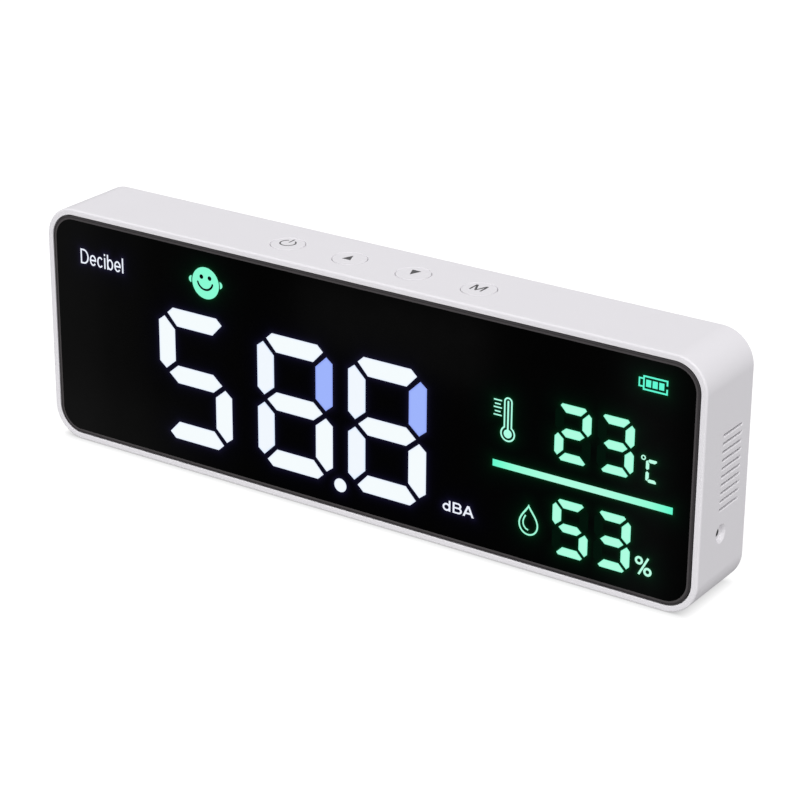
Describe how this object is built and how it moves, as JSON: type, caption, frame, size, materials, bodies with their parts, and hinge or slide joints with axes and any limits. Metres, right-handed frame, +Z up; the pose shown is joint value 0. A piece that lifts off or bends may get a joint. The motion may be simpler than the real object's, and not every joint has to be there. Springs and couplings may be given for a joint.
{
  "type": "sound level meter",
  "caption": "Wide rounded desk or wall sound level meter: white case, flush dark display panel, push buttons on top, vents and microphone inlet on the right side, keyholes behind.",
  "frame": {"origin": "middle of the flat underside", "axes": "+X to the right as seen from the front, across the width; +Y from the display to the back; +Z up. The display faces -Y."},
  "size_m": [0.27, 0.032, 0.09],
  "materials": {
    "white_plastic": "fine matt moulded texture",
    "smoked_panel": "polished smoked panel with a dark printed border",
    "black_foam": "closed-cell foam",
    "diffuser_film": "frosted film",
    "reflector_white": "plain moulded",
    "circuit_board": "green solder mask",
    "chip_black": "moulded resin",
    "steel": "zinc plated",
    "connector_white": "plain moulded",
    "battery_wrap": "foil pouch",
    "red_wire": "insulated wire",
    "black_wire": "insulated wire",
    "orange_flex": "flexible circuit",
    "aluminium_can": "drawn can",
    "black_rubber": "soft moulded",
    "lit_white": "lit white segment",
    "lit_violet": "lit dimmer blue-violet segment",
    "lit_green": "lit green segment",
    "dark_print": "printed symbol"
  },
  "bodies": {
    "case": {"front_housing": "white_plastic", "rear_cover": "white_plastic", "display_lens": "smoked_panel", "lens_gasket": "black_foam", "battery_pad": "black_foam", "diffuser_film": "diffuser_film", "segment_reflector": "reflector_white", "display_board": "circuit_board", "main_board": "circuit_board", "key_board": "circuit_board", "climate_board": "circuit_board", "led_driver_left": "chip_black", "led_driver_right": "chip_black", "controller_chip": "chip_black", "charger_chip": "chip_black", "board_header": "chip_black", "usb_tongue": "chip_black", "buzzer": "chip_black", "climate_sensor": "chip_black", "power_switch_body": "chip_black", "up_switch_body": "chip_black", "down_switch_body": "chip_black", "mode_switch_body": "chip_black", "usb_socket": "steel", "case_screw_1": "steel", "case_screw_2": "steel", "case_screw_3": "steel", "case_screw_4": "steel", "case_screw_5": "steel", "case_screw_6": "steel", "main_board_screw_1": "steel", "main_board_screw_2": "steel", "main_board_screw_3": "steel", "main_board_screw_4": "steel", "display_screw_1": "steel", "display_screw_2": "steel", "display_screw_3": "steel", "display_screw_4": "steel", "key_board_screw_1": "steel", "key_board_screw_2": "steel", "battery_connector": "connector_white", "battery_cell": "battery_wrap", "battery_lead_red": "red_wire", "battery_lead_black": "black_wire", "microphone_lead": "black_wire", "key_ribbon": "orange_flex", "climate_lead": "orange_flex", "microphone_capsule": "aluminium_can", "microphone_boot": "black_rubber"},
    "power_key": {"power_button": "white_plastic", "power_switch_plunger": "black_rubber"},
    "up_key": {"up_button": "white_plastic", "up_switch_plunger": "black_rubber"},
    "down_key": {"down_button": "white_plastic", "down_switch_plunger": "black_rubber"},
    "mode_key": {"mode_button": "white_plastic", "mode_switch_plunger": "black_rubber"}
  },
  "joints": [
    {"name": "power_press", "type": "slide", "parent": "case", "child": "power_key", "axis": [0, 0, -1], "range_m": [0, 0.0006], "stiffness_N_per_m": 2500},
    {"name": "up_press", "type": "slide", "parent": "case", "child": "up_key", "axis": [0, 0, -1], "range_m": [0, 0.0006], "stiffness_N_per_m": 2500},
    {"name": "down_press", "type": "slide", "parent": "case", "child": "down_key", "axis": [0, 0, -1], "range_m": [0, 0.0006], "stiffness_N_per_m": 2500},
    {"name": "mode_press", "type": "slide", "parent": "case", "child": "mode_key", "axis": [0, 0, -1], "range_m": [0, 0.0006], "stiffness_N_per_m": 2500}
  ]
}
